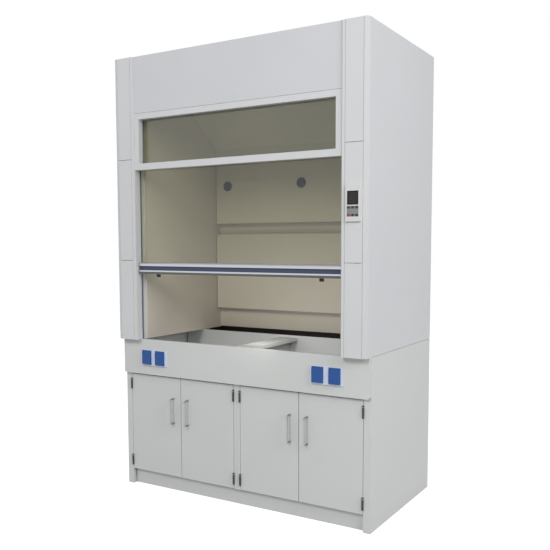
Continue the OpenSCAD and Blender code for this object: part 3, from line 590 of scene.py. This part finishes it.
def trim_paint():
    # The bends get painted shade, which tones down their highlight
    return coated("Trim paint", colours().trim_paint, 0.38, bend_shade=0.15)


def base_paint():
    # The bends get painted shade, which tones down their highlight
    return coated("Base paint", colours().base_paint, 0.42, bend_shade=0.1)


def lining():
    """Lining board: matt, faintly cloudy, with the short fibres of a laminate."""
    return coated("Lining", colours().lining, 0.55, grain=420.0, depth=0.00006, mottle=0.035, dust=0.1)


def cast_iron():
    return coated("Cast iron", colours().iron, 0.62, grain=260.0, depth=0.0004, mottle=0.25, dust=0.2)


def anodised():
    return metal("Anodised", colours().anodised, 0.36, lines=1500.0, depth=0.00001, spread=0.03)


def bare_steel():
    return metal("Bare steel", colours().bare_steel, 0.34, spread=0.08, turn=(0, pi / 2, 0))


def nickel():
    return metal("Nickel", colours().nickel, 0.2, lines=2400.0, depth=0.00001, spread=0.03,
                 turn=(0, pi / 2, 0))


def black_steel():
    return coated("Black steel", colours().black_steel, 0.38, grain=700.0, depth=0.00005, mottle=0.2,
                  dust=0.1)


def blue_plastic():
    return coated("Blue plastic", colours().blue, 0.3, grain=1200.0, depth=0.00001, mottle=0.06, dust=0.08,
                  gloss=0.3)


def guide_plastic():
    return coated("Guide plastic", colours().guide_blue, 0.34, grain=1000.0, depth=0.00002, mottle=0.05,
                  dust=0.1)


def plate_plastic():
    """Pale plates whose hinge ears, in front of the plates' face, share the lids' blue."""
    material = coated("Plate plastic", colours().pale_plastic, 0.3, grain=1100.0, depth=0.00001)
    tree = material.node_tree
    depth = parts_of(tree, place_of(tree))["Y"]
    just_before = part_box("socket_lid_1")[1][1] - 0.4 * MM
    return recoloured(material, math_node(tree, "LESS_THAN", depth, just_before), colours().blue)


def housing_plastic():
    return coated("Housing plastic", colours().housing, 0.36, grain=1300.0, depth=0.00003, mottle=0.02)


def navy_plastic():
    return coated("Navy plastic", colours().navy, 0.36, grain=1000.0, depth=0.00003, mottle=0.1, dust=0.06)


def knob_plastic():
    return coated("Knob plastic", colours().knob, 0.45, grain=1000.0, depth=0.00003, mottle=0.12, dust=0.04,
                  gloss=0.3)


def black_plastic():
    return coated("Black plastic", colours().black, 0.42, grain=1300.0, depth=0.00004, mottle=0.15, dust=0.06)


def red_plastic():
    return coated("Red plastic", colours().red, 0.4, grain=1300.0, depth=0.00004, mottle=0.08, dust=0.04)


def membrane():
    return coated("Membrane", colours().membrane, 0.45, grain=1600.0, depth=0.00002, mottle=0.06, dust=0.03)


def rubber():
    return coated("Rubber", colours().rubber, 0.7, grain=600.0, depth=0.00006, mottle=0.2, dust=0.15)


# Painted shade: the dark finish of the strip under the sash handle
def shade_strip():
    return coated("Shade strip", colours().shade_strip, 0.5, grain=800.0, depth=0.00004, mottle=0.05, dust=0.1)


def inside(tree, vector, low, high, soft):
    """1 inside a rectangle in X and Z, and 0 outside it, with an edge as wide as soft."""
    parts = parts_of(tree, vector)
    masks = []
    for axis, a, b in (("X", low[0], high[0]), ("Z", low[1], high[1])):
        masks.append(remap(tree, parts[axis], a, a + soft, 0.0, 1.0))
        masks.append(remap(tree, parts[axis], b - soft, b, 1.0, 0.0))
    mask = masks[0]
    for other in masks[1:]:
        mask = math_node(tree, "MULTIPLY", mask, other, clamp=True)
    return mask


def screen():
    """Unlit liquid-crystal display: dark border, a greyer field with fine dots, and a glossy cover."""
    low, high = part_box("display_window")
    border, blur = 8 * MM, 0.4 * MM
    material, tree, shader, vector = blank("Screen")
    field = inside(tree, vector, (low[0] + border, low[2] + border),
                   (high[0] - border, high[2] - border), blur)
    dotted = remap(tree, cells(tree, vector, 1300.0), 0.1, 0.5, 0.0, 1.0)
    base = colours().screen
    lit = mix_colour(tree, dotted, shade_of(base, 1.35), shade_of(base, 0.95))
    tone = mix_colour(tree, field, shade_of(base, 0.3), lit)
    smudge = use_group(tree, "Handling", {"Vector": vector}).outputs["Mask"]
    link_surface(tree, shader, tone, remap(tree, smudge, 0.0, 1.0, 0.12, 0.3), dotted, 0.000002)
    shader.inputs["Specular IOR Level"].default_value = 0.25
    return material


def glass():
    """Clear float glass: the tint, faint wiping marks in the gloss, and a free way for the light."""
    material, tree, shader, vector = blank("Glass")
    smudge = use_group(tree, "Handling", {"Vector": vector}).outputs["Mask"]
    tint = shade_of(colours().glass, 1.0)
    tree.links.new(mix_colour(tree, smudge, tint, shade_of(colours().glass, 0.97)),
                   shader.inputs["Base Color"])
    tree.links.new(remap(tree, smudge, 0.0, 1.0, 0.0, 0.05), shader.inputs["Roughness"])
    shader.inputs["Transmission Weight"].default_value = 1.0
    shader.inputs["IOR"].default_value = 1.45
    clear = add(tree, "ShaderNodeBsdfTransparent", {"Color": tint})
    path = add(tree, "ShaderNodeLightPath")
    veil = math_node(tree, "MAXIMUM", path.outputs["Is Shadow Ray"], path.outputs["Is Diffuse Ray"])
    mixed = add(tree, "ShaderNodeMixShader", {0: veil, 1: shader.outputs[0], 2: clear.outputs[0]})
    show(tree, mixed.outputs[0])
    return material


def wire_rope():
    """Stranded steel rope: slanting bands run round it."""
    material, tree, shader, vector = blank("Wire rope")
    slant = add(tree, "ShaderNodeVectorMath", {0: vector, 1: (1.0, 1.0, 0.45)}, operation="MULTIPLY")
    strands = add(tree, "ShaderNodeTexWave", {
        "Vector": slant.outputs["Vector"], "Scale": 260.0, "Distortion": 0.4, "Detail": 1.0},
        bands_direction="DIAGONAL").outputs["Fac"]
    base = colours().bare_steel
    tone = mix_colour(tree, strands, shade_of(base, 0.35), shade_of(base, 1.1))
    link_surface(tree, shader, tone, remap(tree, strands, 0.0, 1.0, 0.55, 0.3), strands, 0.0003)
    shader.inputs["Metallic"].default_value = 1.0
    return material


def lens():
    """The lamp's prismatic cover, unlit."""
    material, tree, shader, vector = blank("Lens")
    height = remap(tree, cells(tree, vector, 160.0), 0.0, 0.6, 1.0, 0.0)
    tone = mix_colour(tree, height, (0.62, 0.63, 0.63, 1.0), (0.78, 0.79, 0.79, 1.0))
    link_surface(tree, shader, tone, remap(tree, height, 0.0, 1.0, 0.3, 0.16), height, 0.0008)
    return material


class Finishes:
    """Each finish is made when it is first asked for."""
    makers = {f.__name__: f for f in (
        paint, pan_paint_void_shade, trim_paint, base_paint, lining, cast_iron, anodised, bare_steel, nickel,
        black_steel, blue_plastic, guide_plastic, plate_plastic, housing_plastic, navy_plastic,
        knob_plastic, black_plastic, red_plastic, membrane, rubber, shade_strip, screen, glass, wire_rope, lens)}

    def __init__(self):
        self.made = {}

    def get(self, name):
        if name not in self.made:
            self.made[name] = self.makers[name]()
        return self.made[name]


FINISHES = Finishes()

# The finish of each CAD node that is shown as it is, or copied with soft edges
FINISH_OF = {
    "rear_panels": "pan_paint_void_shade", "top_panel": "paint", "side_panel_left": "paint", "side_panel_right": "paint",
    "header_panel": "paint", "front_post_left": "trim_paint", "front_post_right": "trim_paint",
    "post_covers": "trim_paint", "window_frame": "trim_paint",
    "cabinet_left": "base_paint", "cabinet_right": "base_paint", "kick_plate": "base_paint",
    "apron": "base_paint", "door_1": "base_paint", "door_2": "base_paint", "door_3": "base_paint",
    "door_4": "base_paint",
    "side_linings": "lining", "rear_lining": "lining", "ceiling_lining": "lining", "baffle_upper": "lining",
    "baffle_middle": "lining", "baffle_fixings": "knob_plastic", "lamp": "lens",
    "exhaust_collar": "bare_steel", "pulley_brackets": "bare_steel", "rope_wraps": "wire_rope",
    "sash_ropes": "wire_rope", "weight_rope_left": "wire_rope", "weight_rope_right": "wire_rope",
    "counterweight_left": "cast_iron", "counterweight_right": "cast_iron",
    "pulley_left": "black_plastic", "pulley_right": "black_plastic", "cable_gland": "black_plastic",
    "sash_guides": "anodised", "slide_strips": "guide_plastic", "sash_handle": "anodised",
    "handle_insert": "navy_plastic", "sash_stops": "rubber", "sash_glass": "glass", "upper_glass": "glass",
    "hinge_leaves": "black_steel", "pull_1": "nickel", "pull_2": "nickel", "pull_3": "nickel",
    "pull_4": "nickel", "socket_frames": "plate_plastic", "socket_lid_1": "blue_plastic",
    "socket_lid_2": "blue_plastic", "socket_lid_3": "blue_plastic", "socket_lid_4": "blue_plastic",
    "controller_housing": "housing_plastic", "display_window": "screen",
    "key_1": "black_plastic", "key_2": "black_plastic", "key_3": "black_plastic", "key_4": "red_plastic",
    "key_5": "black_plastic", "key_6": "black_plastic",
}


class HOOD_OT_camera(bpy.types.Operator):
    """Sets the camera where the photograph was taken"""
    bl_idname = "hood.camera"
    bl_label = "Camera"

    def execute(self, context):
        values = studio()
        data = bpy.data.cameras.new("camera")
        camera = bpy.data.objects.new("camera", data)
        context.scene.collection.objects.link(camera)
        data.sensor_width = SENSOR
        data.lens = values.lens_px * SENSOR / PHOTO
        data.shift_x = (PHOTO / 2 - values.centre_px[0]) / PHOTO
        data.shift_y = (values.centre_px[1] - PHOTO / 2) / PHOTO
        camera.location = values.camera_place
        camera.rotation_euler = Euler((pi / 2 - values.camera_dip, values.camera_roll, values.camera_turn))
        context.scene.camera = camera
        return {"FINISHED"}


class HOOD_OT_finishes(bpy.types.Operator):
    """Gives every CAD node its finish"""
    bl_idname = "hood.finishes"
    bl_label = "Finishes"

    def execute(self, context):
        for node, obj in NODES.items():
            obj.material_slots[0].material = FINISHES.get(FINISH_OF[node])
        return {"FINISHED"}


class HOOD_OT_panels(bpy.types.Operator):
    """Soft edges on the painted sheet of the upper part and the base"""
    bl_idname = "hood.panels"
    bl_label = "Panels"

    def execute(self, context):
        for node in ("side_panel_left", "side_panel_right", "header_panel", "front_post_left",
                     "front_post_right", "post_covers", "window_frame", "cabinet_left", "cabinet_right",
                     "kick_plate", "apron", "top_panel", "rear_panels"):
            dressed(node, node + "_sheet", sizes().sheet_edge)
        return {"FINISHED"}


class HOOD_OT_doors(bpy.types.Operator):
    """Doors and handles with soft edges, and dark sleeves on the hinges' upper halves"""
    bl_idname = "hood.doors"
    bl_label = "Doors"

    # The hinges as the part has them: a barrel's radius, the length of one half, and how far below the
    # top the pin ends
    barrel_r = 5 * MM
    half_l = 30 * MM
    pin_end = 2 * MM
    # A sleeve starts this far over the lower half
    play = 0.2 * MM
    # Its domed cap in two steps, each (border, rise)
    dome = ((1.2 * MM, 0.8 * MM), (1.4 * MM, 0.3 * MM))
    # Its ring groove: both edges as shares of the height, the slope's width and the radius left
    groove = (0.74, 0.80)
    groove_slope = 0.25 * MM
    groove_left = 0.93

    def execute(self, context):
        for number in range(1, 5):
            dressed(f"door_{number}", f"door_panel_{number}", sizes().door_edge)
            handle = dressed(f"pull_{number}", f"door_handle_{number}", sizes().fine_edge)
            smooth(handle, 50)
        low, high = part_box("hinge_leaves")
        middles = (low[2] + self.half_l, high[2] + self.pin_end - self.half_l)
        first = self.sleeve()
        for number in range(1, 5):
            joint = JOINTS[f"door_{number}_hinge"]
            for row, middle in enumerate(middles):
                select_only(first)
                bpy.ops.object.duplicate()
                copy = named(f"hinge_sleeve_{number}_{row + 1}")
                copy.location = (joint["pos_m"][0], joint["pos_m"][1], middle)
                settle(copy)
                place(copy, joint["child"], "black_steel")
        select_only(first)
        bpy.ops.object.delete()
        return {"FINISHED"}

    def sleeve(self):
        """A turned sleeve with a domed cap and a ring groove, standing on the origin."""
        deselect()
        bpy.ops.mesh.primitive_cylinder_add(vertices=32, radius=self.barrel_r + sizes().sleeve_wall,
                                            depth=self.half_l, location=(0, 0, self.half_l / 2 + self.play))
        obj = named("hinge_sleeve")
        settle(obj)
        select_faces(obj, lambda centre, normal: normal.z > 0.9)
        for border, rise in self.dome:
            bpy.ops.mesh.inset(thickness=border)
            bpy.ops.transform.translate(value=(0, 0, rise))
        low, high = (self.half_l * share for share in self.groove)
        edit(obj)
        for level in (high, low):
            bpy.ops.mesh.select_all(action="SELECT")
            bpy.ops.mesh.bisect(plane_co=(0, 0, level), plane_no=(0, 0, 1))
        select_faces(obj, lambda centre, normal: abs(normal.z) < 0.1 and low < centre.z < high)
        bpy.ops.mesh.inset(thickness=self.groove_slope, use_boundary=True)
        bpy.ops.transform.resize(value=(self.groove_left, self.groove_left, 1.0), center_override=(0, 0, 0))
        smooth(obj, 30)
        return obj


class HOOD_OT_sockets(bpy.types.Operator):
    """Socket plates and lids with moulded edges, and a cushion on each lid"""
    bl_idname = "hood.sockets"
    bl_label = "Sockets"

    # A lid's face rises in two soft steps, each (border, rise)
    cushion = ((5 * MM, 1.1 * MM), (9 * MM, 0.6 * MM))

    def execute(self, context):
        dressed("socket_frames", "socket_plates", sizes().plastic_edge)
        for number in range(1, 5):
            lid = dressed(f"socket_lid_{number}", f"socket_cover_{number}", sizes().plastic_edge)
            step_front(lid, self.cushion)
        return {"FINISHED"}


class HOOD_OT_controller(bpy.types.Operator):
    """Controller: housing and keys with moulded edges, a grey keypad and the screen's bezel"""
    bl_idname = "hood.controller"
    bl_label = "Controller"

    # A key's hidden flange reaches this far past its cap
    flange = 2 * MM
    # The keypad leaves this room round each cap, and this border round all of them
    room = 0.35 * MM
    border = 2.5 * MM
    pad_edge = 0.12 * MM
    # The bezel: how far inside the window's hidden rim it starts, its width, rise and edge
    bezel_inset = 1.8 * MM
    bezel_w = 2.2 * MM
    bezel_t = 0.5 * MM
    bezel_edge = 0.15 * MM

    def execute(self, context):
        dressed("controller_housing", "controller_case", sizes().casing_edge, segments=3)
        keys = [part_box(f"key_{number}") for number in range(1, 7)]
        for number in range(1, 7):
            dressed(f"key_{number}", f"keycap_{number}", sizes().plastic_edge, segments=3)
        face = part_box("controller_housing")[0][1]
        outline = ([min(low[axis] for low, high in keys) for axis in range(3)],
                   [max(high[axis] for low, high in keys) for axis in range(3)])
        pad = plate("keypad", outline, self.flange - self.border, face - sizes().membrane_t, face + SUNK)
        cut(pad, [plate("key_cutter", key, self.flange - self.room, face - OVERCUT, face + OVERCUT)
                  for key in keys])
        soften(pad, self.pad_edge, segments=1)
        place(pad, "hood", "membrane")
        bezel = ring("screen_bezel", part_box("display_window"), self.bezel_inset, self.bezel_w,
                     face - self.bezel_t, face + SUNK)
        soften(bezel, self.bezel_edge)
        place(bezel, "hood", "black_plastic")
        return {"FINISHED"}


class HOOD_OT_sash(bpy.types.Operator):
    """Sash: handle, insert and stops with soft edges, beads along the glass, and a dark strip along the foot
    as painted shade under the handle
    """
    bl_idname = "hood.sash"
    bl_label = "Sash"

    # The beads: height over the insert, nearest and furthest point from the glass, and edge
    bead_rise = 18 * MM
    bead_near = 0.05 * MM
    bead_far = 3.5 * MM
    bead_edge = 0.6 * MM
    # The dark strip, painted shade under the handle: shorter than the insert at each end, its depths from the
    # insert's front, its heights from the top of the stops, and the lips and depth of its groove
    strip_short = 1 * MM
    strip_depths = (-0.5 * MM, 14.2 * MM)
    strip_heights = (1 * MM, 13.3 * MM)
    strip_lip = 3 * MM
    strip_groove = 2 * MM

    def execute(self, context):
        dressed("sash_handle", "sash_rail", sizes().metal_edge)
        dressed("handle_insert", "finger_insert", sizes().fine_edge)
        dressed("sash_stops", "stop_buffers", sizes().rubber_edge, segments=3)
        low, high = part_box("handle_insert")
        self.beads(low, high)
        self.shade_strip(low, high)
        return {"FINISHED"}

    def beads(self, low, high):
        """A bead on each side of the glass, as long as the insert."""
        glass_low, glass_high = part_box("sash_glass")
        foot = high[2] + self.bead_rise
        for side, face, out in (("front", glass_low[1], -1), ("rear", glass_high[1], 1)):
            near, far = sorted((face + out * self.bead_near, face + out * self.bead_far))
            bead = block(f"glass_bead_{side}", (low[0], near, foot), (high[0], far, foot + sizes().bead_h))
            soften(bead, self.bead_edge, segments=3)
            place(bead, "sash", "membrane")

    def shade_strip(self, low, high):
        """A dark strip under the handle, which paints the shade there. A groove along its front leaves two
        soft lips.
        """
        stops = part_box("sash_stops")[1][2]
        near, far = (low[1] + depth for depth in self.strip_depths)
        foot, top = (stops + height for height in self.strip_heights)
        strip = block("foot_shade_strip", (low[0] + self.strip_short, near, foot),
                      (high[0] - self.strip_short, far, top))
        select_faces(strip, lambda centre, normal: normal.y < -0.9)
        bpy.ops.mesh.inset(thickness=self.strip_lip)
        bpy.ops.transform.translate(value=(0, self.strip_groove, 0))
        soften(strip, sizes().rubber_edge, segments=3)
        place(strip, "sash", "shade_strip")


class HOOD_OT_window(bpy.types.Operator):
    """Gasket round the upper pane"""
    bl_idname = "hood.window"
    bl_label = "Upper window"

    # The frame covers this much of the pane's edge
    rim = 10 * MM
    # How far before the pane the gasket's front and back lie
    far = 6 * MM
    near = 0.1 * MM

    def execute(self, context):
        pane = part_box("upper_glass")
        face = pane[0][1]
        gasket = ring("pane_gasket", pane, self.rim, sizes().gasket_w, face - self.far, face - self.near)
        soften(gasket, sizes().casing_edge)
        place(gasket, "hood", "membrane")
        return {"FINISHED"}


class HOOD_OT_chamber(bpy.types.Operator):
    """Baffles and linings with soft edges, and the knobs"""
    bl_idname = "hood.chamber"
    bl_label = "Chamber"

    def execute(self, context):
        for node in ("baffle_upper", "baffle_middle", "side_linings", "rear_lining"):
            dressed(node, node + "_board", sizes().board_edge)
        dressed("baffle_fixings", "baffle_knobs", sizes().casing_edge, segments=3)
        return {"FINISHED"}


class HOOD_OT_balance(bpy.types.Operator):
    """Counterweights and brackets with soft edges, and still copies of the ropes with a stranded finish"""
    bl_idname = "hood.balance"
    bl_label = "Counterbalance"

    def execute(self, context):
        for node in ("counterweight_left", "counterweight_right"):
            dressed(node, node + "_casting", sizes().casting_edge, segments=3)
        dressed("pulley_brackets", "bracket_plates", sizes().metal_edge)
        for node in ("sash_ropes", "weight_rope_left", "weight_rope_right"):
            self.rope(node)
        return {"FINISHED"}

    def rope(self, node):
        """A smooth copy of the rope with the stranded finish, which stands for it and stays where it is."""
        rope = merged(node, node + "_run")
        smooth(rope)
        rope.data.materials.clear()
        rope.data.materials.append(FINISHES.get("wire_rope"))
        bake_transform(rope)
        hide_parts(node)


class HOOD_OT_stage(bpy.types.Operator):
    """Pale floor, soft studio lamps and a white surround"""
    bl_idname = "hood.stage"
    bl_label = "Stage"

    def execute(self, context):
        self.floor()
        self.world(context)
        self.lamp("front_light", (0.9, -7.0, 5.6), (0.1, 0.2, 1.1), 2.2, 258.0)
        self.lamp("side_light", (4.2, -1.7, 3.0), (0.5, -0.2, 1.3), 2.2, 97.0)
        self.lamp("rear_light", (-1.5, 6.5, 4.5), (0.0, 0.4, 1.2), 2.2, 140.0)
        self.lamp("opening_light", (0.3, -0.30, 0.98), (-0.6, 0.15, 0.80), 0.5, 0.7, height=0.15)
        self.lamp("base_light", (0.0, -0.20, 0.92), (0.0, 0.25, 0.68), 0.8, 0.5, height=0.06)
        context.scene.view_settings.view_transform = "Standard"
        return {"FINISHED"}

    def floor(self):
        """A wide floor just under the feet, which glows where the camera sees it."""
        deselect()
        bpy.ops.mesh.primitive_plane_add(size=40.0, location=(0, 0, -0.5 * MM))
        floor = named("floor")
        settle(floor)
        material = bpy.data.materials.new("Floor")
        material.use_nodes = True
        tree = material.node_tree
        shader = tree.nodes["Principled BSDF"]
        shader.inputs["Base Color"].default_value = shade_of(studio().floor_colour, 1.0)
        shader.inputs["Roughness"].default_value = 0.9
        glow = add(tree, "ShaderNodeEmission", {"Color": WHITE, "Strength": 0.75})
        both = add(tree, "ShaderNodeAddShader", {0: shader.outputs[0], 1: glow.outputs[0]})
        mixed = add(tree, "ShaderNodeMixShader", {0: seen(tree), 1: shader.outputs[0], 2: both.outputs[0]})
        show(tree, mixed.outputs[0])
        floor.data.materials.append(material)

    def world(self, context):
        """A dim, even light from all round, which the camera sees as white."""
        world = bpy.data.worlds.new("Studio")
        context.scene.world = world
        world.use_nodes = True
        tree = world.node_tree
        light = tree.nodes["Background"]
        light.inputs["Color"].default_value = (0.97, 0.985, 1.0, 1.0)
        light.inputs["Strength"].default_value = studio().world_level
        white = add(tree, "ShaderNodeBackground", {"Color": WHITE, "Strength": 1.0})
        mixed = add(tree, "ShaderNodeMixShader", {0: seen(tree), 1: light.outputs[0], 2: white.outputs[0]})
        tree.links.new(mixed.outputs[0], tree.nodes["World Output"].inputs["Surface"])

    def lamp(self, name, position, target, size, power, height=None):
        """A soft lamp of this power in watts. It's square unless a height is given."""
        data = bpy.data.lights.new(name, "AREA")
        data.shape = "RECTANGLE"
        data.size = size
        data.size_y = height or size
        data.energy = power
        data.color = (1.0, 0.985, 0.965)
        lamp = bpy.data.objects.new(name, data)
        lamp.visible_camera = False
        lamp.visible_glossy = False
        lamp.visible_transmission = False
        bpy.context.scene.collection.objects.link(lamp)
        lamp.location = position
        lamp.rotation_euler = (Vector(target) - Vector(position)).to_track_quat("-Z", "Y").to_euler()


STEPS = (HOOD_OT_camera, HOOD_OT_finishes, HOOD_OT_panels, HOOD_OT_doors, HOOD_OT_sockets,
         HOOD_OT_controller, HOOD_OT_sash, HOOD_OT_window, HOOD_OT_chamber, HOOD_OT_balance, HOOD_OT_stage)


class HOOD_PT_panel(bpy.types.Panel):
    """Lists the steps that dress the hood"""
    bl_idname = "HOOD_PT_panel"
    bl_label = "Fume Hood"
    bl_space_type = "VIEW_3D"
    bl_region_type = "UI"
    bl_category = "Fume Hood"

    def draw(self, context):
        for step in STEPS:
            self.layout.operator(step.bl_idname)
        for group in (context.scene.hood_sizes, context.scene.hood_colours, context.scene.hood_studio):
            column = self.layout.column()
            for name in group.__annotations__:
                column.prop(group, name)


GROUP_CLASSES = {"hood_sizes": HoodSizes, "hood_colours": HoodColours, "hood_studio": HoodStudio}


def register():
    for name, cls in GROUP_CLASSES.items():
        bpy.utils.register_class(cls)
        setattr(bpy.types.Scene, name, bpy.props.PointerProperty(type=cls))
    for cls in STEPS + (HOOD_PT_panel,):
        bpy.utils.register_class(cls)


def unregister():
    for cls in reversed(STEPS + (HOOD_PT_panel,)):
        bpy.utils.unregister_class(cls)
    for name, cls in GROUP_CLASSES.items():
        delattr(bpy.types.Scene, name)
        bpy.utils.unregister_class(cls)


def main():
    register()
    for step in STEPS:
        group, operator = step.bl_idname.split(".")
        getattr(getattr(bpy.ops, group), operator)()


if __name__ == "__main__":
    main()
